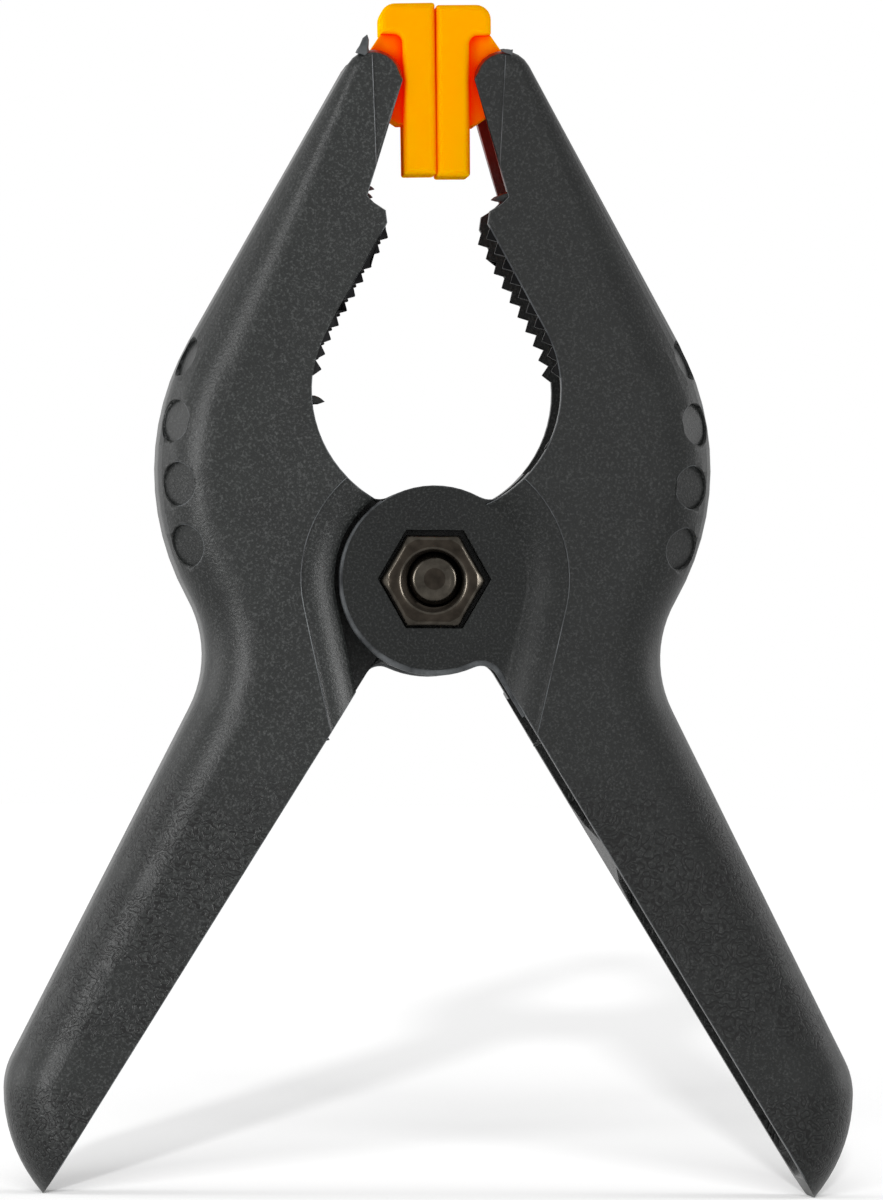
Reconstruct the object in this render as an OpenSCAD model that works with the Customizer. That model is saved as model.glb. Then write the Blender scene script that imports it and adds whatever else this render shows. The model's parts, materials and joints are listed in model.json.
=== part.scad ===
// Spring clamp: two moulded nylon arms on a bolt, with a torsion spring and two swivel pads.
// Lengths are in millimetres. X runs across the jaws, Y from front to rear, and Z is up.
// It stands on its handle ends, with the pivot's axis along Y.

/* [Arms] */
// Height of the pivot above the handle ends
pivot_drop = 73.8; // [70:0.2:78]
// Depth of an arm, from its front face to its rear face
arm_depth = 28; // [27:0.5:32]
// Thickness of an arm's walls and web
wall = 2.5; // [2:0.1:2.8]
// Rounding of an arm's outer edges along the shoulder and handle
edge_r = 7; // [5:0.5:8]
// Rounding of an arm's outer edges at its tip
tip_edge_r = 1.5; // [1:0.1:2]

/* [Jaws] */
// Distance of a pad's trunnion from the middle plane
tip_x = 7.8; // [7.6:0.1:9]
// Height of a pad's trunnion above the pivot
tip_h = 59.7; // [59:0.1:62]
// Radius of the round tip of an arm
tip_r = 3.5; // [3.3:0.1:3.6]
// Angle of the tip's inner edge from upright
tip_angle = 17.2; // [16:0.2:19]
// Radius of the round throat
throat_r = 14.9; // [14.4:0.1:15.2]
// Height of the throat's centre above the pivot
throat_h = 22.6; // [22.2:0.1:23]
// Angle of the toothed jaw edge from upright
jaw_angle = 28.9; // [28:0.1:29.5]
// Number of teeth along the straight jaw edge
line_teeth = 7; // [4:1:7]
// Number of teeth that carry on round the throat
arc_teeth = 3; // [1:1:5]
// Spacing of the teeth
tooth_pitch = 2; // [1.6:0.1:2]
// Height of the teeth
tooth_h = 1; // [0.6:0.1:1.1]

/* [Shoulder and handle] */
// Radius of the rounded shoulder
shoulder_r = 31.7; // [30:0.1:33]
// Distance of the shoulder's centre from the middle plane
shoulder_x = 1.5; // [0:0.1:3]
// Height of the shoulder's centre above the pivot
shoulder_h = 13.2; // [12:0.1:15]
// Angle below level at which the shoulder turns into the waist
waist_angle = 29.4; // [27:0.2:32]
// Radius of the hollow waist
waist_r = 14; // [12:0.2:18]
// Distance of the handle's end from the middle plane
handle_reach = 46.2; // [42:0.2:50]
// Width of the rounded end outside the handle's inner corner
toe_w = 4.6; // [3.5:0.1:6]
// Distance of the handle's inner edge from the middle plane, at the pivot's level
grip_x = 0.95; // [0.6:0.05:1.4]
// Radius at the handle's heel, above the rounded end
heel_r = 9; // [8:0.5:12]
// Height of the heel above the handle's end
heel_rise = 12.4; // [11:0.2:15]
// Radius of the dimples round the shoulder
dimple_r = 2.6; // [2:0.1:2.8]
// Depth of the dimples
dimple_depth = 0.8; // [0.5:0.1:1]
// Height below the pivot of the brace across the handle's open side
brace_drop = 32.8; // [28:0.2:38]

/* [Ears] */
// Radius of the round ears on the pivot
ear_r = 11.2; // [10.6:0.1:11.4]
// How far an outer ear lies below the arm's face
ear_drop = 2; // [1.5:0.1:2.4]
// Thickness of an outer ear
outer_ear_t = 4.6; // [4.4:0.1:4.8]
// Rounding in the corners where an ear runs into its arm
ear_fillet = 2.5; // [1.5:0.1:2.8]
// Radius of the step where the face drops to the ears
step_r = 16; // [15.5:0.1:17]
// Depth of that step, before the face rolls off to the ears
step_h = 0.4; // [0.2:0.1:0.8]
// How far the roll round an inner ear falls to its foot
roll_drop = 1.8; // [1.4:0.1:3]
// Radius of the foot of the roll round an outer ear
outer_foot_r = 10.8; // [10.4:0.1:12]
// Radius of the foot of the roll round an inner ear
inner_foot_r = 12; // [11.7:0.1:12.5]
// Slant of the roll's straight lower part from upright
step_angle = 12.5; // [10:0.5:15]

/* [Bolt, nut and spring] */
// Diameter of the pivot bolt
bolt_d = 6.35; // [5:0.05:6.5]
// Width across the flats of the nut and the bolt's head
hex_flats = 11.1; // [10:0.1:11.4]
// Height of the nut and the bolt's head
hex_h = 4; // [3.4:0.1:5]
// Depth of the hex pockets in the outer ears
pocket_depth = 3; // [2:0.1:3.2]
// Diameter of the spring's wire
wire_d = 2; // [1.6:0.1:2]
// Radius of the coil at the middle of its wire
coil_r = 6.6; // [6:0.1:7.5]
// Whole turns of the coil between its legs
coil_turns = 3; // [2:1:3]
// Height of a spring leg's end below the pivot
leg_drop = 33; // [25:1:45]
// How far the bolt's end lies below the face of the nut
bolt_recess = 0.8; // [0.2:0.1:1]

/* [Pads] */
// Thickness of a pad's plate
pad_t = 3.95; // [3:0.05:3.95]
// Width of a pad's plate from front to rear
pad_w = 26; // [22:0.5:30]
// Height of a pad's plate
pad_h = 20.5; // [18:0.5:22]
// How far a pad reaches above its trunnion
pad_rise = 9.2; // [8.8:0.1:11]
// Width of the flange on top of a pad
flange_w = 6.6; // [5.5:0.1:7.5]
// Thickness of the flange
flange_t = 3.7; // [3:0.1:4.2]
// Rounding under the flange
flange_fillet = 1; // [0.6:0.1:2]
// Radius of a pad's round knuckle
knuckle_r = 2.6; // [2.4:0.1:2.8]
// Radius of the trunnions on a pad's knuckle
trunnion_r = 1.75; // [1.4:0.05:2]
// Depth of the blind sockets that hold the trunnions
socket_depth = 1.6; // [1:0.1:1.8]

/* [Clearances] */
// Side clearance between parts that turn on each other
side_gap = 0.3; // [0.2:0.05:0.5]
// Gap round a pad's knuckle in the hook of its arm
knuckle_gap = 0.2; // [0.15:0.05:0.3]
// Gap round the bolt and the trunnions in their bores
bore_gap = 0.075; // [0.05:0.005:0.15]
// Gap all round the nut and the bolt's head in their pockets
hex_gap = 0.3; // [0.1:0.05:0.4]
// Gap between the two pads' faces when the clamp is shut
pad_gap = 0.1; // [0.05:0.05:0.3]

/* [Hidden] */
$fn = 96;
nylon = [0.16, 0.17, 0.18];
orange = [1, 0.6, 0];
black_oxide = [0.24, 0.21, 0.18];
spring_steel = [0.55, 0.55, 0.57];

half = arm_depth / 2;
hollow = half - wall;
past = 1;                                  // how far a cutter runs past what it cuts
far = 40;                                  // clear of an arm on its inner side
hair = 0.02;                               // tangent faces cross by this much, so that they join cleanly
arc_step = 5;                              // degrees between the sections of a curved edge
edge_steps = 8;                            // facets round a rounded edge

// The side view of the right arm is drawn about the pivot: x outwards and h upwards.
function polar(r, a) = [r * cos(a), r * sin(a)];
tip_c = [tip_x, tip_h];
shoulder_c = [shoulder_x, shoulder_h];
throat_c = [0, throat_h];
to_shoulder = shoulder_c - tip_c;
jaw_n = atan2(to_shoulder.y, to_shoulder.x) + acos((tip_r - shoulder_r) / norm(to_shoulder));
waist_c = shoulder_c + polar(shoulder_r + waist_r, -waist_angle);
heel_h = heel_rise - pivot_drop;
heel_x = handle_reach + toe_w;
heel_c = [heel_x - heel_r, heel_h];
toe_r = (toe_w * toe_w + heel_rise * heel_rise) / (2 * toe_w);
toe_c = [heel_x - toe_r, heel_h];
toe_angle = asin(heel_rise / toe_r);
to_waist = waist_c - heel_c;
handle_angle = atan2(to_waist.y, to_waist.x) - acos((heel_r + waist_r) / norm(to_waist));
waist_end = waist_c - polar(waist_r, handle_angle);

// The inner edge, from the handle's end past the pivot to the throat, the jaw and the tip.
handle_end = [handle_reach, -pivot_drop];
grip_angle = atan((handle_reach - grip_x) / pivot_drop);
grip_n = 180 + grip_angle;
grip_off = -grip_x * cos(grip_angle);
jaw_foot = throat_c + polar(throat_r - hair, jaw_angle);
jaw_up = polar(1, jaw_angle + 90);
jaw_top = jaw_foot + jaw_up * (line_teeth * tooth_pitch + 0.5);
nose = [jaw_top + [0.2, 1.5], jaw_top + [1.6, 2.4], jaw_top + [2.4, 3.2]];
tip_in = tip_c + polar(tip_r, 180 + tip_angle);
tip_up = polar(1, 90 + tip_angle);
tip_foot = [tip_in.x + (tip_in.y - nose[2].y - 1.2) * tan(tip_angle), nose[2].y + 1.2];

// The spring's wire runs up its left leg, round the coil and down its right leg. Both legs bear on
// the webs of the handles, and push them apart to shut the jaws.
leg_x = waist_end.x + (waist_end.y + leg_drop) * tan(handle_angle)
    - (wall + side_gap + wire_d / 2) / cos(handle_angle);
leg_end = [leg_x, -leg_drop];
leg_off = atan2(leg_end.y, leg_end.x) + acos(coil_r / norm(leg_end));
coil_sweep = 180 - 2 * leg_off + 360 * coil_turns;
coil_pitch = wire_d + 0.05;
coil_half = coil_pitch * coil_sweep / 360 / 2;

// Levels of the ears, measured from the middle of the clamp towards a face. The coil fits between
// the inner ears, and takes up all of their room but a side gap.
outer_ear_top = half - ear_drop;
outer_ear_foot = outer_ear_top - outer_ear_t;
inner_ear_top = outer_ear_foot - side_gap;
inner_ear_foot = coil_half + wire_d / 2 + side_gap;
pocket_floor = outer_ear_top - pocket_depth;

// Stands a shape drawn in the side view on the floor, with its level towards the front.
module stand() { translate([0, 0, pivot_drop]) rotate([90, 0, 0]) children(); }

// Joins a list of rings, each with the same number of points, into one solid. The end caps are
// strips across a ring that is its own mirror image, or else fans from each ring's first point.
module loft(rings, strips = false) {
    n = len(rings[0]);
    last = (len(rings) - 1) * n;
    sides = [for (i = [0 : len(rings) - 2]) for (j = [0 : n - 1])
        [i * n + j, i * n + (j + 1) % n, (i + 1) * n + (j + 1) % n, (i + 1) * n + j]];
    caps = strips
        ? [for (j = [0 : n / 2 - 2]) each [[j, n - 1 - j, n - 2 - j, j + 1],
                                           [last + j, last + j + 1, last + n - 2 - j, last + n - 1 - j]]]
        : [for (j = [1 : n - 2]) each [[0, j + 1, j], [last, last + j, last + j + 1]]];
    polyhedron([for (ring = rings) each ring], concat(sides, caps), convexity = 8);
}

// Sections of the outer edge from the tip to the handle's end. Each has a point on the edge, the
// direction of the edge's outward normal, its rounding, and an anchor on the far side of the arm.
tip_anchor = [tip_x - 2.4, tip_h - 8.7];
jaw_anchor = [-2, shoulder_h + 6.8];
handle_anchor = [4, -0.61 * pivot_drop];
function arc_cuts(a, b) =
    let (cuts = ceil(abs(b - a) / arc_step))
    [for (i = [0 : cuts]) a + (b - a) * i / cuts];
function edge_sections(e, with_tip) = concat(
    with_tip ? [for (rise = [tip_anchor.y - tip_in.y + tip_edge_r, 0])
        let (p = tip_in + tip_up * rise - polar(tip_edge_r, tip_angle))
        [p, 180 + tip_angle, tip_edge_r, tip_anchor]] : [],
    with_tip ? [for (a = [165 : -15 : jaw_n + 8])
        [tip_c + polar(tip_r, a), a, tip_edge_r, tip_anchor]] : [],
    [[tip_c + polar(tip_r - e, jaw_n), jaw_n, max(tip_edge_r - e, hair), tip_anchor]],
    [for (a = arc_cuts(jaw_n, -waist_angle))
        [shoulder_c + polar(shoulder_r - e, a), a, edge_r - e, jaw_anchor]],
    [for (a = arc_cuts(-waist_angle + arc_step, handle_angle))
        [waist_c - polar(waist_r + e, a), a, edge_r - e, a < 0 ? jaw_anchor : handle_anchor]],
    [for (a = arc_cuts(handle_angle, 0)) [heel_c + polar(heel_r - e, a), a, edge_r - e, handle_anchor]],
    [for (a = arc_cuts(-arc_step, -toe_angle)) [toe_c + polar(toe_r - e, a), a, edge_r - e, handle_anchor]]
);

// The ring of points of one section, for a block that reaches top either side of the middle.
function edge_ring(s, top) =
    let (half_ring = concat([[s[3].x, s[3].y, top]],
        [for (i = [edge_steps : -1 : 0])
            let (t = 90 * i / edge_steps, p = s[0] - polar(s[2] * (1 - cos(t)), s[1]))
            [p.x, p.y, top - s[2] * (1 - sin(t))]]))
    concat(half_ring, [for (i = [len(half_ring) - 1 : -1 : 0]) let (p = half_ring[i]) [p.x, p.y, -p.z]]);

module rounded_block(e, top, with_tip) {
    loft([for (s = edge_sections(e, with_tip)) edge_ring(s, top)], true);
}

// The row of teeth, as points from the nose down the jaw edge and round the throat.
arc_pitch = 2 * asin(tooth_pitch / 2 / throat_r);
tooth_line = concat(
    [for (i = [2 * line_teeth : -1 : 1])
        jaw_foot + jaw_up * tooth_pitch * i / 2 - polar(i % 2 == 0 ? -hair : tooth_h, jaw_angle)],
    [for (i = [0 : 2 * arc_teeth])
        throat_c + polar(throat_r + (i % 2 == 0 ? hair : -tooth_h), jaw_angle - arc_pitch * i / 2)]
);
module teeth_2d() {
    root = 2 * tooth_h;
    polygon(concat([jaw_top + polar(root, jaw_angle)], tooth_line,
                   [throat_c + polar(throat_r + root, jaw_angle - arc_pitch * arc_teeth),
                    jaw_foot + polar(root, jaw_angle)]));
}

// All that lies on the inner side of the right arm's edge.
module inner_side_2d() {
    difference() {
        union() {
            translate(throat_c) circle(throat_r);
            polygon([throat_c, jaw_foot, jaw_top, nose[0], nose[1], nose[2], tip_foot,
                     tip_in + tip_up * 2 * tip_r, [-far, throat_h]]);
            polygon([handle_end - [0, past], handle_end, [grip_x, 0], [grip_x, throat_h],
                     [-far, throat_h], [-far, -pivot_drop - past]]);
        }
        teeth_2d();
    }
}

// The open channel of an arm: its outer skin, less its hollow and all that is past its inner edge.
module arm_shell() {
    difference() {
        rounded_block(0, half, true);
        rounded_block(wall, hollow, false);
        linear_extrude(arm_depth + 2 * past, center = true) inner_side_2d();
        fork_slot();
    }
    brace();
}

// The tip is a fork: the pad's knuckle sits between two round lobes, and the web behind it ends in
// a hook that reaches round the knuckle to where the outer edge leaves the tip.
module fork_slot() {
    slot_foot = tip_anchor.y - 1.5;
    linear_extrude(2 * hollow, center = true) {
        translate(tip_c) circle(knuckle_r + knuckle_gap);
        polygon([[-far, slot_foot], [tip_x, slot_foot], tip_c, tip_c + polar(far, jaw_n),
                 [far, tip_h + far], [-far, tip_h + far]]);
    }
}

// A tapered brace ties the two walls of a handle together across its open side.
module brace() {
    wide = 7.7;
    narrow = 1.6;
    thick = 1.8;
    translate([grip_x + brace_drop * tan(grip_angle), -brace_drop]) rotate(grip_n - 90) rotate([90, 0, 0])
        linear_extrude(thick)
            polygon([[-wide, -hollow - past], [wide, -hollow - past], [wide * 0.5, -hollow / 2],
                     [narrow, hollow + past], [-narrow, hollow + past], [-wide * 0.5, -hollow / 2]]);
}

// The part of the arm's side view that its ears grow from.
module hub_2d() {
    difference() {
        circle(step_r + wall / 2);
        inner_side_2d();
    }
}

// Fills the corner between an ear and the edge it runs into, about the centre of the corner's rounding.
module ear_corner_2d(c, seat) {
    on_ear = c * (ear_r - 0.3) / norm(c);
    difference() {
        polygon([(on_ear + seat) * 0.4, seat, c, on_ear]);
        translate(c) circle(ear_fillet - hair);
    }
}

module ear_2d() {
    f = ear_fillet;
    throat_y = (throat_h * throat_h + pow(ear_r + f, 2) - pow(throat_r - f, 2)) / (2 * throat_h);
    throat_corner = [sqrt(pow(ear_r + f, 2) - throat_y * throat_y), throat_y];
    grip_out = polar(1, grip_n);
    grip_corner = grip_out * (grip_off + f)
        + polar(sqrt(pow(ear_r + f, 2) - pow(grip_off + f, 2)), grip_n + 90);
    circle(ear_r);
    hub_2d();
    ear_corner_2d(throat_corner, throat_c + (throat_corner - throat_c) * (throat_r + 0.3) / (throat_r - f));
    mirror([0, 1])
        ear_corner_2d([grip_corner.x, -grip_corner.y],
                      [grip_corner.x - grip_out.x * (f + 0.3), -grip_corner.y + grip_out.y * (f + 0.3)]);
}

// Cuts the step and the roll that lead from a face down to an ear. The roll falls by drop to its foot
// at foot_r, and everything inside the foot goes down to level base.
module roll_cut(foot_r, drop, base) {
    crest = half - step_h;
    run = step_r - foot_r;
    roll_r = (run * run + drop * drop) / (2 * drop);
    foot_a = asin(run / roll_r);
    profile = concat([[0, half + past], [step_r, half + past]],
        [for (i = [0 : edge_steps]) let (a = foot_a * i / edge_steps)
            [step_r - roll_r * sin(a), crest - roll_r * (1 - cos(a))]],
        base < crest - drop ? [[foot_r, base]] : [],
        [[0, base]]);
    arc_rings = [for (a = arc_cuts(100, -step_angle))
        [for (p = profile) [p.x * cos(a), p.x * sin(a), p.y]]];
    down = polar(2 * step_r, -step_angle - 90);
    end_ring = [for (p = arc_rings[len(arc_rings) - 1]) p + [down.x, down.y, 0]];
    loft(concat(arc_rings, [end_ring]));
}

// Bevels the ends of the teeth at a face.
module teeth_bevel() {
    deep = 1.5 * tooth_h;
    profile = [[0, half], [-deep, half - deep], [-deep - past, half + past], [0, half + past]];
    normals = concat([[jaw_foot + jaw_up * (line_teeth * tooth_pitch + hair), jaw_angle]],
        [for (i = [0 : 2 : 2 * arc_teeth]) let (a = jaw_angle - arc_pitch * i / 2)
            [throat_c + polar(throat_r - hair, a), a]]);
    loft([for (n = normals) [for (p = profile) concat(n[0] + polar(p.x, n[1]), [p.y])]]);
}

// The row of dimples round the shoulder. They turn from the edge towards the face on their way down.
module dimples() {
    turns = [15, 34, 46, 42];
    for (i = [0 : 3])
        translate(shoulder_c) rotate(25 - 14.5 * i) translate([shoulder_r - edge_r, 0, half - edge_r])
            rotate([0, 90 - turns[i], 0]) translate([0, 0, edge_r - dimple_depth])
                cylinder(r = dimple_r, h = edge_r);
}

// The face steps down a little on the inner half of a tip, along a line that leans down to the jaw.
module tip_step() {
    depth = 0.35;
    lean = 2.6;
    reach = 11;
    translate([tip_x, tip_h, half - depth]) linear_extrude(depth + past)
        polygon([[-far, -reach], [-reach * tan(lean), -reach], [2 * tip_r * tan(lean), 2 * tip_r],
                 [-far, 2 * tip_r]]);
}

module hex_2d(flats) { circle(r = flats / 2 / cos(30), $fn = 6); }

// The right arm in the side view, with its outer ear in front. The left arm is the same moulding.
module arm() {
    hub_top = hollow + wall / 2;
    hub_foot = (inner_ear_top + inner_ear_foot) / 2;
    difference() {
        union() {
            arm_shell();
            translate([0, 0, outer_ear_foot]) linear_extrude(outer_ear_t) ear_2d();
            translate([0, 0, -inner_ear_top]) linear_extrude(inner_ear_top - inner_ear_foot) ear_2d();
            translate([0, 0, -hub_top]) linear_extrude(hub_top - hub_foot) hub_2d();
        }
        roll_cut(outer_foot_r, half - step_h - outer_ear_top, outer_ear_top);
        mirror([0, 0, 1]) roll_cut(inner_foot_r, roll_drop, inner_ear_top);
        cylinder(r = bolt_d / 2 + bore_gap, h = arm_depth, center = true);
        translate([0, 0, pocket_floor]) linear_extrude(half) hex_2d(hex_flats + 2 * hex_gap);
        translate(tip_c)
            cylinder(r = trunnion_r + bore_gap, h = 2 * (hollow + socket_depth), center = true);
        for (side = [0, 1]) mirror([0, 0, side]) {
            teeth_bevel();
            dimples();
            tip_step();
        }
    }
}

// The right pad in the side view: a plate with a flange on top, and a knuckle that swivels in the fork.
module pad() {
    face = pad_gap / 2;
    back = face + pad_t;
    top = tip_h + pad_rise;
    under = top - flange_t;
    gusset_foot = tip_h - 2 * knuckle_r;
    corner = 1.8;
    knuckle = hollow - side_gap;
    linear_extrude(pad_w, center = true) {
        translate([face, top - pad_h]) square([pad_t, pad_h - 1]);
        translate([face, under]) square([flange_w - corner - face, flange_t]);
        translate([face, under]) square([flange_w - face, flange_t - corner]);
        translate([flange_w - corner, top - corner]) circle(corner);
        difference() {
            translate([back - past, under - flange_fillet]) square(flange_fillet + past);
            translate([back + flange_fillet, under - flange_fillet]) circle(flange_fillet);
        }
    }
    linear_extrude(2 * knuckle, center = true) {
        translate(tip_c) circle(knuckle_r);
        polygon([[back - past, gusset_foot], [back + 0.6, gusset_foot],
                 tip_c + polar(knuckle_r - hair, -45), tip_c, tip_c + polar(knuckle_r - hair, 55),
                 [flange_w - hair, under + hair], [back - past, under + hair]]);
    }
    translate(tip_c) cylinder(r = trunnion_r, h = 2 * (hollow + socket_depth - side_gap), center = true);
}

// A hex prism from level 0 to h, with its corners turned off at both ends.
module hex_head(h) {
    bevel = 0.5;
    flat_r = hex_flats / 2 * 0.96;
    full_r = flat_r + bevel * 2;
    intersection() {
        linear_extrude(h) hex_2d(hex_flats);
        rotate_extrude()
            polygon([[0, 0], [flat_r, 0], [full_r, bevel], [full_r, h - bevel], [flat_r, h], [0, h]]);
    }
}

module left_arm() { color(nylon) rotate(180) stand() arm(); }
module right_arm() { color(nylon) stand() arm(); }
module left_pad() { color(orange) rotate(180) stand() pad(); }
module right_pad() { color(orange) stand() pad(); }

// The bolt's head sits in the left arm's pocket at the rear, and its end in the nut at the front.
module pivot_bolt() {
    shank_top = pocket_floor + hex_h - bolt_recess;
    tip_bevel = 0.6;
    color(black_oxide) stand() {
        translate([0, 0, -pocket_floor - hex_h]) hex_head(hex_h);
        rotate_extrude()
            polygon([[0, -pocket_floor - past], [bolt_d / 2, -pocket_floor - past],
                     [bolt_d / 2, shank_top - tip_bevel], [bolt_d / 2 - tip_bevel, shank_top],
                     [0, shank_top]]);
    }
}

module pivot_nut() {
    bore = bolt_d / 2 + bore_gap;
    sink = 0.6;
    color(black_oxide) stand() translate([0, 0, pocket_floor]) difference() {
        hex_head(hex_h);
        rotate_extrude()
            polygon([[0, -past], [bore + sink + past, -past], [bore, sink], [bore, hex_h - sink],
                     [bore + sink + past, hex_h + past], [0, hex_h + past]]);
    }
}

coil_steps = ceil(coil_sweep / 12);
wire_path = concat(
    [[-leg_end.x, leg_end.y, -coil_half]],
    [for (i = [0 : coil_steps]) let (t = i / coil_steps, a = 180 - leg_off - t * coil_sweep)
        [coil_r * cos(a), coil_r * sin(a), coil_half * (2 * t - 1)]],
    [[leg_end.x, leg_end.y, coil_half]]
);
function unit(v) = v / norm(v);
function wire_ring(i, sides) =
    let (ahead = wire_path[min(i + 1, len(wire_path) - 1)], behind = wire_path[max(i - 1, 0)],
         along = unit(ahead - behind), across = unit(cross(along, [0, 0, 1])), over = cross(across, along))
    [for (j = [0 : sides - 1]) let (a = 360 * j / sides)
        wire_path[i] + wire_d / 2 * (cos(a) * across + sin(a) * over)];

module torsion_spring() {
    color(spring_steel) stand() loft([for (i = [0 : len(wire_path) - 1]) wire_ring(i, 12)]);
}

left_arm();
right_arm();
left_pad();
right_pad();
pivot_bolt();
pivot_nut();
torsion_spring();
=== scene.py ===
"""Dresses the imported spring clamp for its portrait: finishes, small pieces, floor, lamps and camera.

Lengths are in metres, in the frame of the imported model: +Z up, +X to the right arm, -Y to the nut.
The clamp is its own image after half a turn about Z, so a point of the left arm is (-x, -y, z).
"""
import json
import math
import random

import bmesh
import bpy
from mathutils import Matrix, Vector


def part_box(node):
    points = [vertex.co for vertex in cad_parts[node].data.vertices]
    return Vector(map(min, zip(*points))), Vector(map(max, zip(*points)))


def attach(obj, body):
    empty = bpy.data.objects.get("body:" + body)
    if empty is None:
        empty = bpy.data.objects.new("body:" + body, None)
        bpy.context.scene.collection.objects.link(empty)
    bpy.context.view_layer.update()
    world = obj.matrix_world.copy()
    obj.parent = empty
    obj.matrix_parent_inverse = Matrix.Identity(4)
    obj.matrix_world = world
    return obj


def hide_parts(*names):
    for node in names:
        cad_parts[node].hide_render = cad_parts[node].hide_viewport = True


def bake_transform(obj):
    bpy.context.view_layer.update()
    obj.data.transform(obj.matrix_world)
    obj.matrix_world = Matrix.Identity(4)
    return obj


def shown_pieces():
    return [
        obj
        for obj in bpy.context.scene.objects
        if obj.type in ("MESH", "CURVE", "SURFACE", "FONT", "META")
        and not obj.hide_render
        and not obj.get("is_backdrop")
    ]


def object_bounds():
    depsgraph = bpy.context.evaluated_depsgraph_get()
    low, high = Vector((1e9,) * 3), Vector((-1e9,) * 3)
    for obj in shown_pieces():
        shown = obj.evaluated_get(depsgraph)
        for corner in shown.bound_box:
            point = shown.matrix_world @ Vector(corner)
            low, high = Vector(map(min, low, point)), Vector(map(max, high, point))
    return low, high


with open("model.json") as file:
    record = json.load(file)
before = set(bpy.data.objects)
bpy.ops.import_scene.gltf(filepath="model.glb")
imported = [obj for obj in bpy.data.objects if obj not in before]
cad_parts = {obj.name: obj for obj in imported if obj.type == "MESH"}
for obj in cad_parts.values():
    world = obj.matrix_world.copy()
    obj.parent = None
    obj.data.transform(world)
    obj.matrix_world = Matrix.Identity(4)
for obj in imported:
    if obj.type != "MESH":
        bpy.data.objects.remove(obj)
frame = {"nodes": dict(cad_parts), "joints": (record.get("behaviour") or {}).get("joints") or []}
cad_low, cad_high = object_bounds()
MM = 0.001

joints = {joint["name"]: joint for joint in frame["joints"]}
pivot = Vector(joints["jaw_hinge"]["pos_m"])
trunnion = Vector(joints["right_pad_swivel"]["pos_m"])
front = cad_low.y
half_turn = Matrix.Rotation(math.pi, 4, "Z")


# ---------------------------------------------------------------- colours and nodes

def colour(code):
    """A hex sRGB colour as the linear RGBA that a socket takes."""
    channels = [int(code[i:i + 2], 16) / 255 for i in (1, 3, 5)]
    linear = [c / 12.92 if c <= 0.04045 else ((c + 0.055) / 1.055) ** 2.4 for c in channels]
    return (*linear, 1.0)


def add_node(material, kind, settings=None, inputs=None):
    """Adds a shader node. An input is a plain value, or another node's output socket."""
    node = material.node_tree.nodes.new(kind)
    for name, value in (settings or {}).items():
        setattr(node, name, value)
    for name, value in (inputs or {}).items():
        if isinstance(value, bpy.types.NodeSocket):
            material.node_tree.links.new(value, node.inputs[name])
        else:
            node.inputs[name].default_value = value
    return node


def new_material(name):
    """An empty node material and its output node."""
    material = bpy.data.materials.new(name)
    material.use_nodes = True
    material.node_tree.nodes.clear()
    return material, add_node(material, "ShaderNodeOutputMaterial")


def object_place(material):
    """The place of a point in the frame of its object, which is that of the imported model."""
    return add_node(material, "ShaderNodeTexCoord").outputs["Object"]


def noise(material, place, size, detail, roughness):
    """A noise whose features are about this far apart, in metres."""
    return add_node(material, "ShaderNodeTexNoise", None, {
        "Vector": place, "Scale": 1 / size, "Detail": detail, "Roughness": roughness}).outputs["Fac"]


def maths(material, operation, *values):
    """The result of a Math node."""
    node = add_node(material, "ShaderNodeMath", {"operation": operation}, dict(enumerate(values)))
    return node.outputs["Value"]


def map_range(material, value, start, end, to_start=0, to_end=1, smooth=False):
    """A value that goes from to_start to to_end as another goes from start to end."""
    return add_node(material, "ShaderNodeMapRange", {
        "interpolation_type": "SMOOTHSTEP" if smooth else "LINEAR"}, {
        "Value": value, "From Min": start, "From Max": end,
        "To Min": to_start, "To Max": to_end}).outputs["Result"]


def mix(material, factor, first, second):
    """Two colours mixed by a factor."""
    return add_node(material, "ShaderNodeMix", {"data_type": "RGBA"}, {
        "Factor": factor, "A": first, "B": second}).outputs["Result"]


def axes(material, vector):
    """The X, Y and Z of a vector."""
    parts = add_node(material, "ShaderNodeSeparateXYZ", None, {"Vector": vector})
    return parts.outputs["X"], parts.outputs["Y"], parts.outputs["Z"]


def bump(material, height, strength, distance, inputs=None):
    """The normal of a surface roughened by a height."""
    return add_node(material, "ShaderNodeBump", None, {
        "Strength": strength, "Distance": distance, "Height": height, **(inputs or {})}).outputs["Normal"]


def coat(material, output, inputs):
    """Gives a material its surface."""
    shader = add_node(material, "ShaderNodeBsdfPrincipled", None, inputs)
    material.node_tree.links.new(shader.outputs["BSDF"], output.inputs["Surface"])
    return material


# ---------------------------------------------------------------- finishes

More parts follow.
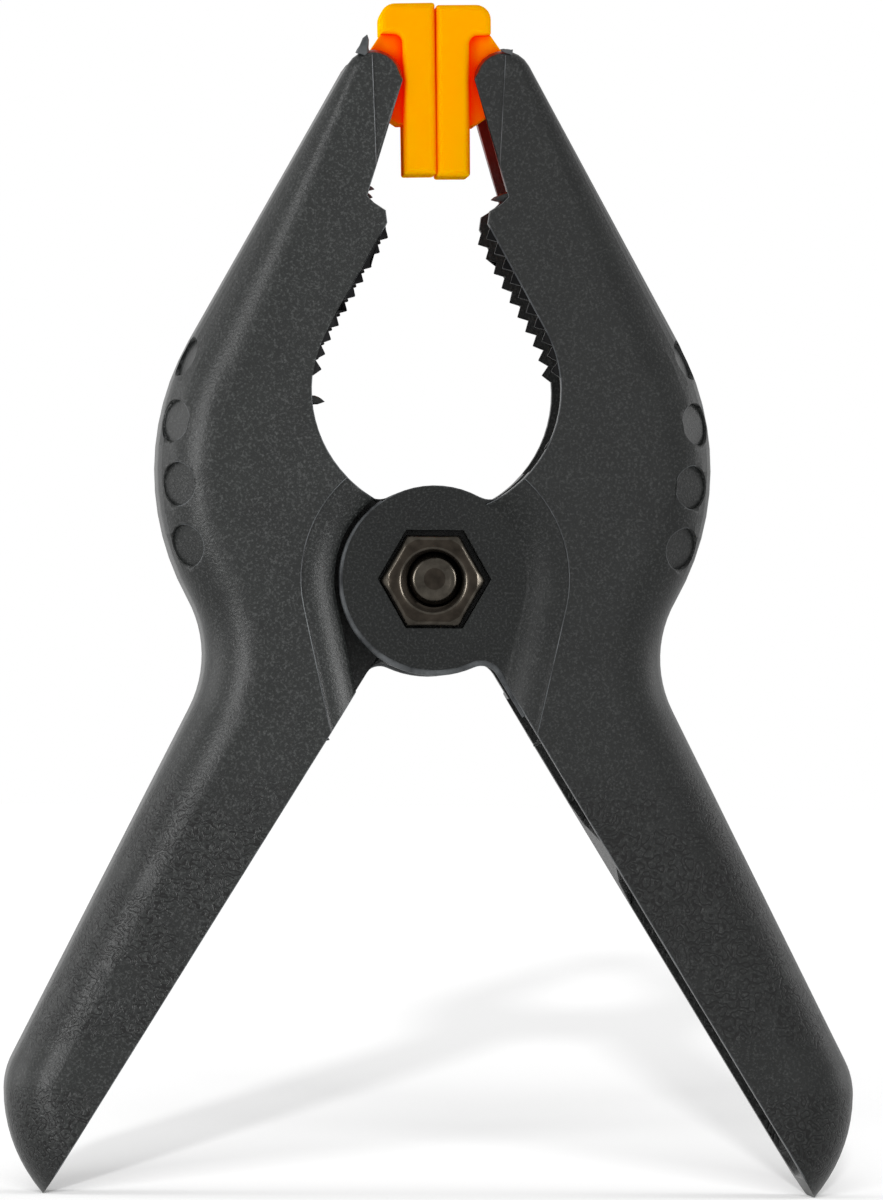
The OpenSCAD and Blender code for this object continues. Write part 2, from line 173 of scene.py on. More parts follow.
def moulded_nylon():
    """Black glass-filled nylon from a spark-eroded mould: a fine matt grain with pale specks of fibre,
    and patches of curly leather grain on the handles, with painted shade in the creases of the grain
    and a painted red glow on the walls beside the pads."""
    material, output = new_material("moulded_black_nylon")
    place = object_place(material)
    fine = noise(material, place, 0.3 * MM, 2, 0.7)
    clouds = noise(material, place, 7 * MM, 3, 0.6)
    tint = mix(material, clouds, colour("#101111"), colour("#202221"))
    specks = map_range(material, fine, 0.5, 0.78, to_end=0.48)
    speckled = mix(material, specks, tint, colour("#585a59"))

    # The leather grain: contour lines of a slow noise, in two bands of height on the handles. Its creases
    # are painted near black, a painted shade in the hollows of the grain.
    slow = noise(material, place, 1.5 * MM, 1, 0.5)
    wave = maths(material, "SINE", maths(material, "MULTIPLY", slow, 40))
    curls = map_range(material, wave, -1, 0, smooth=True)
    x, y, height = axes(material, place)
    bands = []
    for low_end, low_full, high_full, high_end in ((16, 20, 45, 53), (1, 4, 11, 14.5)):
        rise = map_range(material, height, low_end * MM, low_full * MM, smooth=True)
        fall = map_range(material, height, high_end * MM, high_full * MM, smooth=True)
        bands.append(maths(material, "MULTIPLY", rise, fall))
    patches = map_range(material, clouds, 0.36, 0.5, smooth=True)
    grained = maths(material, "MULTIPLY", maths(material, "ADD", *bands), patches)
    pressed = maths(material, "MULTIPLY", grained, curls)
    painted_crease_shade = maths(material, "SUBTRACT", grained, pressed)
    grain_with_painted_shade = mix(material, painted_crease_shade, speckled, colour("#070707"))

    # The walls that face the pads are painted with the red light that the pads throw on them: a painted
    # glow in the colour, fixed to the arms, which stays when the pads swing.
    across = axes(material, add_node(material, "ShaderNodeNewGeometry").outputs["Normal"])[0]
    outward = maths(material, "MULTIPLY", maths(material, "SIGN", x), across)
    turned_inward = map_range(material, outward, 0.3, -0.1)
    behind_face = map_range(material, maths(material, "ABSOLUTE", y), -front - 0.5 * MM, -front - 0.7 * MM)
    beside_pads = map_range(material, height, pivot.z + 43 * MM, pivot.z + 52 * MM)
    seen_by_pads = maths(material, "MULTIPLY", turned_inward, behind_face)
    painted_pad_glow = maths(material, "MULTIPLY", seen_by_pads, beside_pads)
    nylon_with_painted_glow = mix(material, painted_pad_glow, grain_with_painted_shade, colour("#8c1e06"))

    # The ears are duller than the rest.
    flat_place = add_node(material, "ShaderNodeVectorMath", {"operation": "MULTIPLY"}, {
        0: place, 1: (1, 0, 1)})
    from_pivot = add_node(material, "ShaderNodeVectorMath", {"operation": "DISTANCE"}, {
        0: flat_place.outputs["Vector"], 1: pivot}).outputs["Value"]
    gloss = map_range(material, from_pivot, 12 * MM, 18 * MM, 0.18, 0.28, smooth=True)

    leather = bump(material, pressed, 0.6, 0.07 * MM)
    grain = bump(material, fine, 0.5, 0.1 * MM, {"Normal": leather})
    return coat(material, output, {
        "Base Color": nylon_with_painted_glow, "Roughness": 0.38, "Specular IOR Level": gloss, "Normal": grain})


def nylon_flash_painted_highlight():
    """The thin line of nylon squeezed out where two halves of a mould meet. Its pale colour is partly a
    painted highlight of the light that these edges catch; it is paler still in places.
    """
    material, output = new_material("nylon_flash_painted_highlight")
    wear = noise(material, object_place(material), 4 * MM, 4, 0.7)
    tint = mix(material, map_range(material, wear, 0.35, 0.65), colour("#2a2c2e"), colour("#5e6163"))
    return coat(material, output, {"Base Color": tint, "Roughness": 0.4, "Specular IOR Level": 0.3})


def painted_tooth_shade_nylon():
    """The nylon of the teeth, which kept the dull skin of the mould; its darker colour is painted shade for
    the teeth, which lie back from the face.
    """
    material, output = new_material("toothed_nylon_painted_shade")
    return coat(material, output, {
        "Base Color": colour("#0c0c0d"), "Roughness": 0.6, "Specular IOR Level": 0.12})


def moulded_orange(name, crevice_shade):
    """Translucent orange plastic with painted shade, which turns it redder in its crevices, and a faint
    painted red glow.
    """
    material, output = new_material(name)
    # Painted shade: where the surface is closed in, the colour turns to the crevice shade colour.
    open_air = add_node(material, "ShaderNodeAmbientOcclusion", {"samples": 8}, {"Distance": 5 * MM})
    amount = map_range(material, open_air.outputs["AO"], 0.3, 0.85)
    tint = mix(material, amount, colour(crevice_shade), colour("#ffb600"))
    # The weak red emission is a painted glow that stands in for light scattered through the plastic.
    return coat(material, output, {
        "Base Color": tint, "Roughness": 0.6, "IOR": 1.01,
        "Subsurface Weight": 0.7, "Subsurface Scale": 4 * MM, "Subsurface Radius": (1.0, 0.22, 0.02),
        "Emission Color": colour("#ff3000"), "Emission Strength": 0.15})


def black_oxide_steel(name, code, roughness):
    """Blackened steel with a thin brown oil film in patches."""
    material, output = new_material(name)
    film = noise(material, object_place(material), 1.6 * MM, 4, 0.6)
    tint = mix(material, film, colour("#0f0d0b"), colour(code))
    return coat(material, output, {
        "Base Color": tint, "Metallic": 1.0, "Roughness": roughness,
        "Normal": bump(material, film, 0.5, 0.05 * MM)})


def spring_wire():
    """Plain drawn steel wire."""
    material, output = new_material("spring_steel_wire")
    return coat(material, output, {"Base Color": colour("#a8a8ac"), "Metallic": 1.0, "Roughness": 0.3})


nylon = moulded_nylon()
tooth_painted_shade = painted_tooth_shade_nylon()
flash_and_highlight = nylon_flash_painted_highlight()
# The pad faces that grip each other take a milder painted crevice shade than the rest.
orange = moulded_orange("moulded_orange_plastic", "#ff1800")
orange_face = moulded_orange("orange_pad_face", "#e89000")
oxide = black_oxide_steel("black_oxide_steel", "#423c35", 0.36)
worn_oxide = black_oxide_steel("worn_black_oxide", "#5c574f", 0.25)
wire = spring_wire()


# ---------------------------------------------------------------- helpers for making pieces

def polar(radius, angle):
    """A point at a radius and an angle in radians, in X outwards and height."""
    return Vector((math.cos(angle), math.sin(angle))) * radius


def alone(piece):
    """Leaves only this piece selected and active."""
    bpy.ops.object.select_all(action="DESELECT")
    piece.select_set(True)
    bpy.context.view_layer.objects.active = piece


def copy_of(node, name):
    """A copy of a CAD node, with its loose triangles joined up and its flat faces made whole."""
    piece = bpy.data.objects.new(name, frame["nodes"][node].data.copy())
    bpy.context.scene.collection.objects.link(piece)
    alone(piece)
    bpy.ops.object.mode_set(mode="EDIT")
    bpy.ops.mesh.select_all(action="SELECT")
    bpy.ops.mesh.remove_doubles(threshold=0.001 * MM)
    bpy.ops.mesh.dissolve_limited(angle_limit=math.radians(1))
    bpy.ops.object.mode_set(mode="OBJECT")
    return piece


def paint(piece, *materials):
    """Gives a piece its materials, in the order of their slots."""
    piece.data.materials.clear()
    for material in materials:
        piece.data.materials.append(material)


def finish(piece, angle=35):
    """Shades a piece smooth up to an angle, and keeps its flat faces flat."""
    alone(piece)
    bpy.ops.object.shade_smooth_by_angle(angle=math.radians(angle))
    piece.modifiers.new("flat_faces", "WEIGHTED_NORMAL").keep_sharp = True
    bpy.ops.object.modifier_apply(modifier="flat_faces")


def round_edges(piece, width, chosen, segments=2, material=-1):
    """Bevels the edges that a test picks: it is given an edge, its middle and its angle in degrees."""
    mesh = bmesh.new()
    mesh.from_mesh(piece.data)
    weights = mesh.edges.layers.float.new("bevel_weight_edge")
    for edge in mesh.edges:
        if len(edge.link_faces) == 2:
            middle = (edge.verts[0].co + edge.verts[1].co) / 2
            edge[weights] = float(chosen(edge, middle, math.degrees(edge.calc_face_angle_signed())))
    mesh.to_mesh(piece.data)
    mesh.free()
    alone(piece)
    bevel = piece.modifiers.new("rounded", "BEVEL")
    bevel.width = width
    bevel.segments = segments
    bevel.limit_method = "WEIGHT"
    bevel.use_clamp_overlap = False
    bevel.material = material
    bpy.ops.object.modifier_apply(modifier="rounded")
    piece.data.attributes.remove(piece.data.attributes["bevel_weight_edge"])


def new_piece(name, verts, faces, *materials):
    """A piece from its points and faces."""
    data = bpy.data.meshes.new(name)
    data.from_pydata(verts, [], faces)
    piece = bpy.data.objects.new(name, data)
    bpy.context.scene.collection.objects.link(piece)
    paint(piece, *materials)
    return piece


def stacked(name, rings, *materials, second=(), loop=False):
    """A skin over a list of rings of points: capped at both ends, or with its last ring joined to its
    first. The bands that start at the rings named second take the second material."""
    count = len(rings[0])
    verts = [point for ring in rings for point in ring]
    bands = len(rings) if loop else len(rings) - 1
    faces = []
    for i in range(bands):
        here, there = i * count, (i + 1) % len(rings) * count
        faces += [[here + j, here + (j + 1) % count, there + (j + 1) % count, there + j]
                  for j in range(count)]
    if not loop:
        faces += [list(range(count)), [bands * count + j for j in range(count)]]
    piece = new_piece(name, verts, faces, *materials)
    for i in second:
        for j in range(count):
            piece.data.polygons[i * count + j].material_index = 1
    alone(piece)
    bpy.ops.object.mode_set(mode="EDIT")
    bpy.ops.mesh.select_all(action="SELECT")
    bpy.ops.mesh.normals_make_consistent(inside=False)
    bpy.ops.object.mode_set(mode="OBJECT")
    return piece


def joined(name, pieces):
    """Several pieces made into one."""
    alone(pieces[0])
    for piece in pieces[1:]:
        piece.select_set(True)
    bpy.ops.object.join()
    pieces[0].name = name
    return pieces[0]


def settle(piece, body, slot, *nodes):
    """Gives a finished piece to a body, in the place of the CAD nodes that it stands for."""
    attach(piece, body)
    if nodes:
        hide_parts(*nodes)


# ---------------------------------------------------------------- arms

ear_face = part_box("pivot_nut")[0].y + 1 * MM
pocket_corner = 7.2 * MM
tip_radius = 3.5 * MM
lobe_foot = 1.05 * MM              # how far below its centre a lobe's circle ends
lobe_step = 0.35 * MM              # how far a lobe's face lies below the arm's
lobe_height = 44 * MM              # from the pivot to below the lobes
dimple_start = 24.4 * MM           # from the shoulder's centre to inside the dimples
dimple_reach = 20 * MM             # how far the dimples reach up and down from that centre
sharp = 50                         # degrees between the faces of an edge that gets rounded
root_skin = 0.03 * MM              # how far past the roots a point is taken as on a tooth
shoulder = Vector((1.5, 13.2)) * MM
throat = Vector((0, 22.6)) * MM
throat_radius = 14.9 * MM
jaw_angle = math.radians(28.9)
tooth_pitch = 2 * MM
line_teeth, arc_teeth = 7, 3
jaw_out = polar(1, jaw_angle)
jaw_up = Vector((-jaw_out.y, jaw_out.x))
jaw_foot = throat + jaw_out * throat_radius
teeth_end = jaw_angle - arc_teeth * tooth_pitch / throat_radius


def on_tooth(point):
    """Whether a point, in X outwards and height above the pivot, lies past the roots of the teeth."""
    up = (point - jaw_foot).dot(jaw_up)
    if up > 0:
        return up < (line_teeth * tooth_pitch + 0.5 * MM) and (point - jaw_foot).dot(jaw_out) < -root_skin
    spoke = point - throat
    return spoke.length < throat_radius - root_skin and math.atan2(spoke.y, spoke.x) > teeth_end


def on_front_or_back(middle):
    """Whether a point lies on the outer face of an arm, the step below it, or the outer ear."""
    return abs(middle.y) > abs(ear_face) - 0.05 * MM


def flashed(edge, middle, angle):
    """The sharp edges that carry flash: those of the outer faces, away from the nut's pocket. Their bevels
    take the pale flash colour, partly a painted highlight.
    """
    from_pivot = Vector((middle.x, middle.z - pivot.z)).length
    return angle > sharp and on_front_or_back(middle) and from_pivot > pocket_corner


def on_lobe(edge, middle, angle):
    """The sharp edges of a lobe's stepped face."""
    below_face = abs(middle.y) - abs(front) + lobe_step
    return angle > sharp and middle.z > pivot.z + lobe_height and abs(below_face) < 0.02 * MM


for side, inward in (("left", 1), ("right", -1)):
    arm = copy_of(side + "_arm", side + "_arm_moulding")
    paint(arm, nylon, flash_and_highlight, tooth_painted_shade)

    # What stands out of a lobe's circle is drawn in to it.
    axis = Vector((-inward * trunnion.x, trunnion.z))
    for vertex in arm.data.vertices:
        spoke = Vector((vertex.co.x, vertex.co.z)) - axis
        if spoke.x * inward > 0 and spoke.y > -lobe_foot and spoke.length > tip_radius:
            spoke *= tip_radius / spoke.length
            vertex.co.x, vertex.co.z = axis + spoke
    round_edges(arm, 0.3 * MM, on_lobe, segments=3)
    # These bevels are coloured pale: flash, and a painted highlight along the edges.
    round_edges(arm, 0.1 * MM, flashed, material=1)

    def plain(edge, middle, angle):
        spoke = Vector((-inward * middle.x, middle.z - pivot.z)) - shoulder
        on_dimple = spoke.x > 0 and spoke.length > dimple_start and abs(spoke.y) < dimple_reach
        return angle > sharp and not on_dimple
    round_edges(arm, 0.1 * MM, plain)
    # The faces past the roots of the teeth take the darker nylon, a painted shade.
    for face in arm.data.polygons:
        if on_tooth(Vector((-inward * face.center.x, face.center.z - pivot.z))):
            face.material_index = 2
    finish(arm)
    settle(arm, side + "_arm", "black_nylon", side + "_arm")


def bead(name, points, radius, material, swell=None):
    """A thin round bead of material along a line of points, wider where swell says so."""
    data = bpy.data.curves.new(name, "CURVE")
    data.dimensions = "3D"
    data.bevel_depth = radius
    data.bevel_resolution = 4
    data.use_fill_caps = True
    line = data.splines.new("POLY")
    line.points.add(len(points) - 1)
    for spot, point, wider in zip(line.points, points, swell or [1] * len(points)):
        spot.co = (*point, 1)
        spot.radius = wider
    piece = bpy.data.objects.new(name, data)
    bpy.context.scene.collection.objects.link(piece)
    alone(piece)
    bpy.ops.object.convert(target="MESH")
    paint(piece, material)
    finish(piece, 50)
    return piece


# The rounded rim of an outer ear, from under the disc over the fillet and along the handle's inner edge.
# Its pale flash colour paints the light rim along the ear's lower edge.
ear_radius = 11.2 * MM
ear_fillet = 2.5 * MM
grip_x = 0.95 * MM
handle_reach = 46.2 * MM
grip_angle = math.atan2(handle_reach - grip_x, pivot.z)
grip_offset = grip_x * math.cos(grip_angle)
fillet_along = math.sqrt((ear_radius + ear_fillet) ** 2 - (ear_fillet - grip_offset) ** 2)
down_grip = Vector((math.sin(grip_angle), -math.cos(grip_angle)))
inside_grip = Vector((-math.cos(grip_angle), -math.sin(grip_angle)))
grip_foot = Vector((grip_x, 0))
fillet_centre = (grip_foot - down_grip * grip_foot.dot(down_grip)
                 + down_grip * fillet_along + inside_grip * ear_fillet)
start_angle = math.atan2(fillet_centre.y, fillet_centre.x)
rim = [polar(ear_radius, start_angle - math.radians(5 * i)) for i in range(34, -1, -1)]
turn_from = math.atan2(-fillet_centre.y, -fillet_centre.x)
turn_to = math.atan2(-inside_grip.y, -inside_grip.x)
rim += [fillet_centre + polar(ear_fillet, turn_from + (turn_to - turn_from) * i / 8) for i in range(9)]
rim.append(rim[-1] + down_grip * 6 * MM)
rim_swell = [1 + 0.9 * min(1, i / 24) for i in range(len(rim))]
ear_seam = [polar(ear_radius, math.radians(52 - 7 * i)) for i in range(11)]
jaw_lip = [jaw_foot + jaw_up * line_teeth * tooth_pitch, jaw_foot]
jaw_lip += [throat + polar(throat_radius, jaw_angle + (teeth_end - jaw_angle) * i / 6) for i in range(1, 7)]
beads = (("_ear_rim", rim, ear_face + 0.2 * MM, 0.2 * MM, rim_swell),
         ("_ear_seam", ear_seam, ear_face + 0.06 * MM, 0.12 * MM, None),
         ("_jaw_lip", jaw_lip, front + 0.06 * MM, 0.1 * MM, None))
# Each bead is a raised line in the pale flash colour, which paints a highlight along it.
for side in ("left", "right"):
    for name, path, level, radius, swell in beads:
        line = [Vector((p.x, level, pivot.z + p.y)) for p in path]
        piece = bead(side + name, line, radius, flash_and_highlight, swell)
        if side == "left":
            piece.data.transform(half_turn)
        settle(piece, side + "_arm", "black_nylon")


# The corner between an ear and its handle is filled flush with the ear.
web_outline = [fillet_centre + (p - fillet_centre) * 1.02 for p in rim[-10:-1]]
web_outline += [rim[-2] - inside_grip * 0.6 * MM, down_grip * 9 * MM - inside_grip * 2 * MM,
                polar(ear_radius, start_angle) * 0.8]
for side in ("left", "right"):
    piece = stacked(side + "_ear_web", [[(p.x, y, pivot.z + p.y) for p in web_outline]
                                        for y in (ear_face - 0.01 * MM, ear_face + 2 * MM)], nylon)
    if side == "left":
        piece.data.transform(half_turn)
    finish(piece)
    settle(piece, side + "_arm", "black_nylon")


def shard(name, root, tip, width, material, seed):
    """A ragged sliver of flash on the front edge, from a root to a tip in X and height above the pivot."""
    ragged = random.Random(seed)
    along = Vector((tip[0] - root[0], 0, tip[1] - root[1])) * MM
    across = Vector((along.z, 0, -along.x)).normalized()
    rings = []
    for i in range(6):
        t = i / 5
        centre = Vector((root[0] * MM, front + 0.8 * MM, pivot.z + root[1] * MM)) + along * t
        half = width * MM * (1 - t) ** 0.5 / 2 + 0.05 * MM
        thick = 0.5 * MM * (1 - 0.6 * t)
        rings.append([centre + across * half * math.cos(a) * ragged.uniform(0.85, 1.15)
                      + Vector((0, thick * math.sin(a), 0)) + along * ragged.uniform(-0.03, 0.03)
                      for a in (math.tau * j / 8 for j in range(8))])
    piece = stacked(name, rings, material)
    finish(piece, 30)
    return piece


slivers = {
    "left_tip": ("left", (-9.2, 62.6), (-8.6, 64.9), 1.5, flash_and_highlight),
    "left_notch": ("left", (-9.4, 46.9), (-7.6, 46.5), 1.0, nylon),
    "left_notch_low": ("left", (-9.3, 45.95), (-7.8, 45.5), 0.9, nylon),
    "left_throat": ("left", (-15.4, 21.3), (-13.4, 21.1), 1.2, nylon),
    "left_grip": ("left", (-14.0, -18.6), (-12.5, -19.3), 1.2, nylon),
    "right_tip": ("right", (8.8, 62.95), (7.4, 63.3), 0.7, flash_and_highlight),
    "right_notch": ("right", (8.4, 45.7), (6.4, 45.3), 1.1, nylon),
    "right_throat": ("right", (14.2, 16.9), (13.0, 15.6), 0.6, nylon),
    "right_grip": ("right", (12.6, -19.3), (11.9, -19.9), 0.6, nylon),
}
for seed, (name, (side, root, tip, width, material)) in enumerate(slivers.items()):
    settle(shard(name + "_sliver", root, tip, width, material, seed), side + "_arm", "black_nylon")


# ---------------------------------------------------------------- pads

pad_low, pad_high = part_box("right_pad")
pad_thick = 3.95 * MM
flange_reach = 6.6 * MM
flange_thick = 3.7 * MM
flange_corner = 1.8 * MM
knuckle_half = 11.2 * MM
knuckle_radius = 2.6 * MM


def arc(centre, radius, start, end, steps):
    """Points of an arc in X and Z, between two angles in degrees."""
    return [centre + polar(radius, math.radians(start + (end - start) * i / steps))
            for i in range(steps + 1)]


def extruded(name, outline, half, material):
    """A prism along Y from an outline in X and Z."""
    return stacked(name, [[(p.x, y, p.y) for p in outline] for y in (-half, half)], material)


def about_trunnion(degrees, axis):
    """A turn about a line through the right pad's trunnion."""
    turn = Matrix.Rotation(math.radians(degrees), 4, axis)
    return Matrix.Translation(trunnion) @ turn @ Matrix.Translation(-trunnion)


def end_edges(edge, middle, angle):
    """The edges round the two ends of a plate."""
    return angle > 60 and abs(middle.y) > pad_high.y - 1e-6


def long_edges(edge, middle, angle):
    """The edges that run along a plate from end to end."""
    return angle > 60 and abs(middle.y) < 1e-6


def sharp_edges(edge, middle, angle):
    """Every sharp edge."""
    return angle > 60


# The pads sit a little askew in their loose sockets, with their faces still together.
pad_yaw = Matrix.Rotation(math.radians(-1.2), 4, "Z")
pad_pitch = about_trunnion(0.9, "X")
for side, lean in (("left", 1.3), ("right", -0.8)):
    face, top, foot = pad_low.x, pad_high.z, pad_low.z
    back_x, under = face + pad_thick, top - flange_thick
    corner = Vector((flange_reach - flange_corner, top - flange_corner))
    fillet = Vector((back_x + 1 * MM, under - 1 * MM))
    outline = [Vector((face, foot)), Vector((back_x, foot))]
    outline += arc(fillet, 1 * MM, 180, 90, 5)
    outline += [Vector((flange_reach, under))] + arc(corner, flange_corner, 0, 90, 8)
    outline += [Vector((face, top))]
    plate = extruded("plate", outline, pad_high.y, orange)
    round_edges(plate, 0.8 * MM, end_edges, segments=4)
    round_edges(plate, 0.3 * MM, long_edges)
    plate.data.materials.append(orange_face)
    # The gripping faces take the orange with the milder painted crevice shade.
    for polygon in plate.data.polygons:
        polygon.material_index = int(polygon.normal.x < -0.3)
    knuckle_at = Vector((trunnion.x, trunnion.z))
    web = [Vector((back_x - 1 * MM, trunnion.z - 2 * knuckle_radius)),
           Vector((back_x + 0.6 * MM, trunnion.z - 2 * knuckle_radius))]
    web += arc(knuckle_at, knuckle_radius, -45, 70, 12)
    web += [Vector((flange_reach - 0.05 * MM, under + 0.05 * MM)),
            Vector((back_x - 1 * MM, under + 0.05 * MM))]
    knuckle = extruded("knuckle", web, knuckle_half, orange)
    round_edges(knuckle, 0.2 * MM, sharp_edges)
    pin = extruded("pin", arc(knuckle_at, 1.75 * MM, 0, 345, 23), pad_high.y - 0.2 * MM, orange)
    pad = joined(side + "_pad_moulding", [plate, knuckle, pin])
    pad.data.transform(about_trunnion(lean, "Y"))
    if side == "left":
        pad.data.transform(half_turn)
    pad.data.transform(pad_yaw @ pad_pitch)
    finish(pad)
    settle(pad, side + "_pad", "orange_pad", side + "_pad")


# ---------------------------------------------------------------- nut and bolt

turn_steps = 96
hex_flats = 11.1 * MM
bolt_radius = 3.17 * MM
nut_low, nut_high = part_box("pivot_nut")
bolt_low, bolt_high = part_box("pivot_bolt")
seat, nut_face = -nut_high.y, -nut_low.y
bolt_end = -bolt_low.y
sag = (-0.2 * MM, -0.22 * MM)
thread_pitch = 1.27 * MM


def ring_at(level, radius_of, offset=(0, 0)):
    """A ring round the pivot at a level towards the front, from a function of the angle."""
    ring = []
    for i in range(turn_steps):
        a = math.tau * i / turn_steps
        radius = radius_of(a)
        ring.append((radius * math.cos(a) + offset[0], -level, pivot.z + radius * math.sin(a) + offset[1]))
    return ring


def hex_rings(start, end, flats, offset=(0, 0)):
    """Rings up the outside of a hexagon and over its rounded rim, with its corners turned off."""
    rim = math.copysign(0.75 * MM, end - start)
    steps = [(start, 0)]
    for i in range(7):
        a = math.pi / 2 * i / 6
        steps.append((end - rim + rim * math.sin(a), abs(rim) * (1 - math.cos(a))))
    rings = []
    for level, inset in steps:
        turned = flats / 2 * 0.97 + abs(end - level) * 1.7

        def radius_of(a, inset=inset, turned=turned):
            flat = flats / 2 / math.cos(a % (math.pi / 3) - math.pi / 6)
            return min(flat - inset, turned)
        rings.append(ring_at(level, radius_of, offset))
    return rings


def round_rings(profile, offset=(0, 0)):
    """Round rings from a list of radii and levels."""
    return [ring_at(level, lambda a, radius=radius: radius, offset) for radius, level in profile]


def thread_rings(start, end, radius, depth):
    """Rings along a screw thread, which is a ridge that climbs one pitch for each turn."""
    steps = round(abs(end - start) / thread_pitch * 8)
    rings = []
    for i in range(steps + 1):
        level = start + (end - start) * i / steps

        def radius_of(a, level=level):
            return radius + depth * math.sin(a + math.tau * level / thread_pitch)
        rings.append(ring_at(level, radius_of))
    return rings


# The nut sags a little in its pocket, towards the lower left.
nut_rings = hex_rings(seat, nut_face, hex_flats - 0.25 * MM, sag)
rim_bands = [*range(2, 6), 9]
nut_rings += round_rings([(4.5 * MM, nut_face), (4.05 * MM, nut_face - 0.02 * MM),
                          (3.8 * MM, nut_face - 0.18 * MM), (3.5 * MM, nut_face - 0.6 * MM)], sag)
nut_rings += thread_rings(nut_face - 0.8 * MM, seat + 0.3 * MM, 3.34 * MM, 0.1 * MM)
nut_rings += round_rings([(3.6 * MM, seat)])
nut = stacked("pivot_nut_turned", nut_rings, oxide, worn_oxide, second=rim_bands, loop=True)
finish(nut, 50)
settle(nut, "right_arm", "black_oxide", "pivot_nut")

# The bolt: its head at the rear, a plain shank, a threaded end, and a hammered end face.
head_seat, head_face = -bolt_high.y + (nut_face - seat), -bolt_high.y
bolt_rings = hex_rings(head_seat, head_face, hex_flats)[::-1]
bolt_rings += round_rings([(bolt_radius + 0.3 * MM, head_seat), (bolt_radius, head_seat + 0.3 * MM),
                           (bolt_radius, seat - 4 * MM)])
bolt_rings += thread_rings(seat - 3.6 * MM, bolt_end - 0.9 * MM, bolt_radius - 0.1 * MM, 0.08 * MM)
end_start = len(bolt_rings)
bolt_rings += round_rings([(3.05 * MM, bolt_end - 0.5 * MM), (2.72 * MM, bolt_end - 0.24 * MM),
                           (2.55 * MM, bolt_end - 0.07 * MM), (2.25 * MM, bolt_end),
                           (1.95 * MM, bolt_end - 0.08 * MM), (1.3 * MM, bolt_end - 0.12 * MM),
                           (0.6 * MM, bolt_end - 0.05 * MM)])
hammer = random.Random(4)
for ring in bolt_rings[-4:]:
    dents = [hammer.uniform(-0.07, 0.05) * MM for _ in range(12)]
    for i, (x, y, z) in enumerate(ring):
        t = i * len(dents) / turn_steps
        ease = t % 1
        dent = dents[int(t)] * (1 - ease) + dents[(int(t) + 1) % len(dents)] * ease
        ring[i] = (x, y + dent, z)
bolt = stacked("pivot_bolt_turned", bolt_rings, oxide, worn_oxide,
               second=[*range(1, 5), *range(end_start + 1, end_start + 5)])
finish(bolt, 50)
settle(bolt, "left_arm", "black_oxide", "pivot_bolt")


# ---------------------------------------------------------------- spring

spring_low, spring_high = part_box("torsion_spring")
wire_radius = 1 * MM
coil_radius = 6.6 * MM
coil_turns = 3
coil_half = spring_high.y - wire_radius
leg_end = Vector((spring_high.x - 0.9 * wire_radius, spring_low.z - pivot.z + 0.5 * wire_radius))
leg_off = math.atan2(leg_end.y, leg_end.x) + math.acos(coil_radius / leg_end.length)
sweep = math.pi - 2 * leg_off + math.tau * coil_turns
coil_steps = 36 * coil_turns
path = [Vector((-leg_end.x, coil_half, pivot.z + leg_end.y))]
for i in range(coil_steps + 1):
    t = i / coil_steps
    a = math.pi - leg_off - t * sweep
    path.append(Vector((coil_radius * math.cos(a), coil_half * (1 - 2 * t),
                        pivot.z + coil_radius * math.sin(a))))
path.append(Vector((leg_end.x, -coil_half, pivot.z + leg_end.y)))
spring = bead("torsion_spring_wire", path, wire_radius, wire)
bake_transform(spring)
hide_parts("torsion_spring")


# ---------------------------------------------------------------- floor, world, lamps and camera

def pale_floor():
    """A white floor that keeps the shadow: diffuse, with a glow that only the camera sees."""
    material, output = new_material("pale_floor")
    diffuse = add_node(material, "ShaderNodeBsdfDiffuse", None, {"Color": colour("#f4f4f4")})
    path = add_node(material, "ShaderNodeLightPath")
    seen = maths(material, "MULTIPLY", path.outputs["Is Camera Ray"], 0.14)
    glow = add_node(material, "ShaderNodeEmission", None, {"Strength": seen})
    both = add_node(material, "ShaderNodeAddShader")
    material.node_tree.links.new(diffuse.outputs["BSDF"], both.inputs[0])
    material.node_tree.links.new(glow.outputs["Emission"], both.inputs[1])
    material.node_tree.links.new(both.outputs["Shader"], output.inputs["Surface"])
    return material


bpy.ops.object.select_all(action="DESELECT")
bpy.ops.mesh.primitive_plane_add(size=400, location=(0, 0, cad_low.z))
floor = bpy.context.object
floor.name = "floor"
bpy.ops.object.transform_apply(location=True)
floor.data.materials.append(pale_floor())
floor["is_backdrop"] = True


def white_studio():
    """A world that is white to the camera and in reflections, and lights the clamp softly."""
    studio = bpy.data.worlds.new("white_studio")
    studio.use_nodes = True
    studio.node_tree.nodes.clear()
    path = add_node(studio, "ShaderNodeLightPath")
    seen = maths(studio, "MAXIMUM", path.outputs["Is Camera Ray"], path.outputs["Is Transmission Ray"])
    seen = maths(studio, "MAXIMUM", seen, path.outputs["Is Glossy Ray"])
    strength = maths(studio, "MULTIPLY_ADD", seen, 0.5, 0.5)
    background = add_node(studio, "ShaderNodeBackground", None, {
        "Strength": strength, "Color": colour("#ffffff")})
    output = add_node(studio, "ShaderNodeOutputWorld")
    studio.node_tree.links.new(background.outputs["Background"], output.inputs["Surface"])
    return studio


bpy.context.scene.world = white_studio()


def softbox(name, place, aim, size, tall, power):
    """A rectangular lamp that looks at a point."""
    lamp = bpy.data.lights.new(name, "AREA")
    lamp.shape = "RECTANGLE"
    lamp.size = size
    lamp.size_y = tall
    lamp.energy = power
    holder = bpy.data.objects.new(name, lamp)
    bpy.context.scene.collection.objects.link(holder)
    direction = Vector(aim) - Vector(place)
    holder.rotation_mode = "QUATERNION"
    holder.rotation_quaternion = direction.to_track_quat("-Z", "Y")
    holder.location = place
    return holder


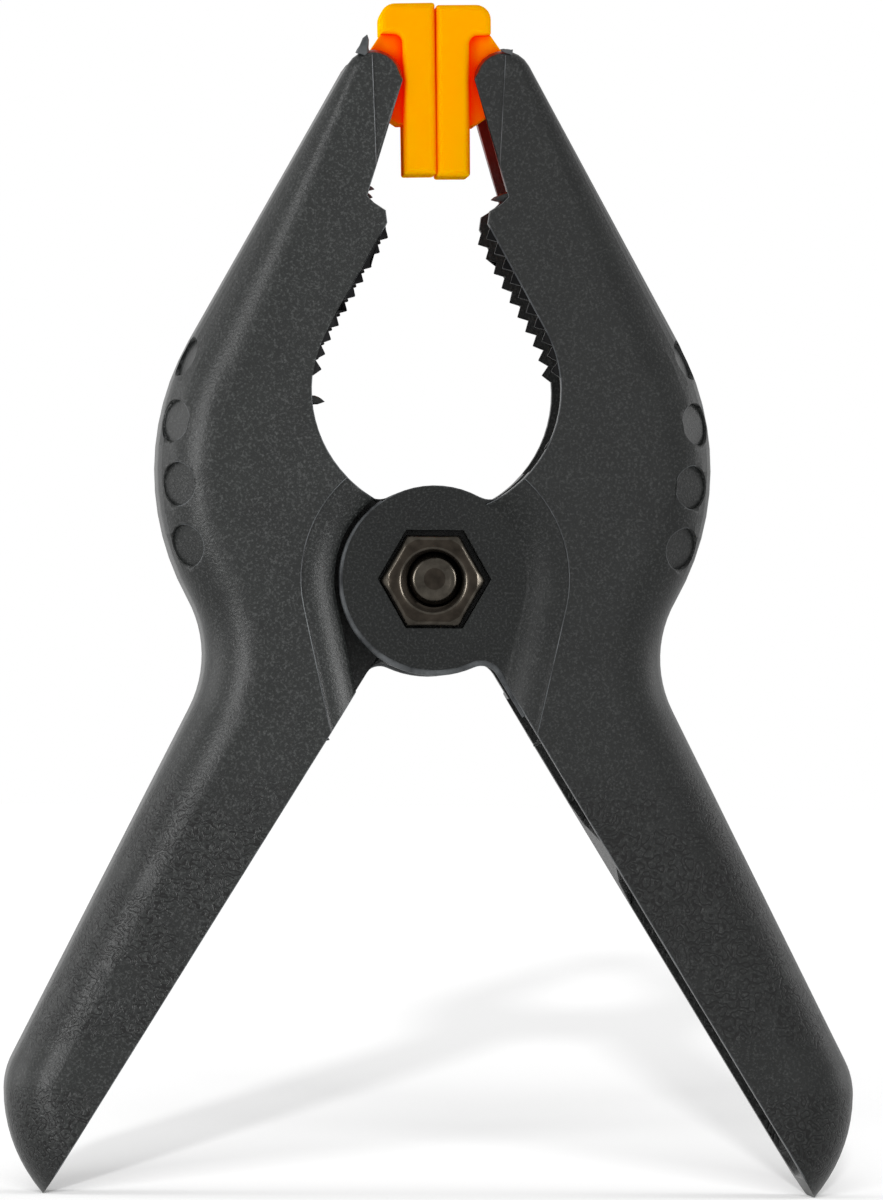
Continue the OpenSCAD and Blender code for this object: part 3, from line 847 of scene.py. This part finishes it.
def lights_only(lamp, name, *receivers):
    """The lamp reaches only these objects. They all still cast shadows."""
    group = bpy.data.collections.new(name)
    for receiver in receivers:
        group.objects.link(receiver)
    lamp.light_linking.receiver_collection = group


def sunlight(name, direction, energy, spread):
    """A sun for the floor alone, so that its shadow keeps its depth."""
    data = bpy.data.lights.new(name, "SUN")
    data.energy = energy
    data.angle = math.radians(spread)
    lamp = bpy.data.objects.new(name, data)
    bpy.context.scene.collection.objects.link(lamp)
    lamp.rotation_mode = "QUATERNION"
    lamp.rotation_quaternion = Vector(direction).to_track_quat("-Z", "Y")
    lights_only(lamp, name + "_receivers", floor)


middle = (cad_low + cad_high) / 2
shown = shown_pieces()
left_names = ("left_arm_moulding", "pivot_nut_turned", "pivot_bolt_turned")
right_names = ("right_arm_moulding", "right_ear_web")
left_arm_and_bolt = [piece for piece in shown if piece.name in left_names]
right_arm = [piece for piece in shown if piece.name in right_names]
for name, place, size, tall, power, receivers in (
        ("left_softbox", (-0.7, 0.1, 0.2), 0.4, 0.4, 1.3, shown),
        ("left_front_softbox", (-0.54, -0.68, 0.15), 0.25, 0.5, 2.5, shown),
        ("left_arm_softbox", (-0.58, -0.64, 0.1), 0.2, 0.4, 3.3, left_arm_and_bolt),
        ("roll_softbox", (0.62, -0.46, 0.15), 0.2, 0.4, 5.2, left_arm_and_bolt),
        ("front_softbox", (0.15, -0.9, 0.2), 0.5, 0.5, 0.54, right_arm),
        ("right_softbox", (0.7, 0.25, 0.2), 0.3, 0.3, 0.55, shown)):
    lights_only(softbox(name, place, middle, size, tall, power), name + "_receivers", *receivers)

# A low sun from the front draws the long shadow, and a broader one the dark close to the feet.
sunlight("low_sun", (0.057, 1, -math.tan(math.radians(2.9))), 10.5, 0.6)
sunlight("broad_low_sun", (0.057, 1, -math.tan(math.radians(7))), 8.5, 10)

# The camera stands far off, a little to the left, with a long lens.
camera_data = bpy.data.cameras.new("camera")
camera = bpy.data.objects.new("camera", camera_data)
bpy.context.scene.collection.objects.link(camera)
bpy.context.scene.camera = camera
camera_azimuth = math.radians(-2.2)
camera_rise = math.radians(-0.5)
camera_roll = math.radians(-0.4)
camera_distance = 2.2
view_height = 0.1442
target = Vector((0.0013, 0, 0.0714))
away = Vector((math.sin(camera_azimuth) * math.cos(camera_rise),
               -math.cos(camera_azimuth) * math.cos(camera_rise), math.sin(camera_rise)))
camera.location = target + away * camera_distance
camera.rotation_mode = "QUATERNION"
roll = Matrix.Rotation(-camera_roll, 3, "Z").to_quaternion()
camera.rotation_quaternion = (-away).to_track_quat("-Z", "Y") @ roll
camera_data.lens = camera_data.sensor_width * camera_distance / view_height
camera_data.clip_end = 20

bpy.context.scene.view_settings.view_transform = "Standard"
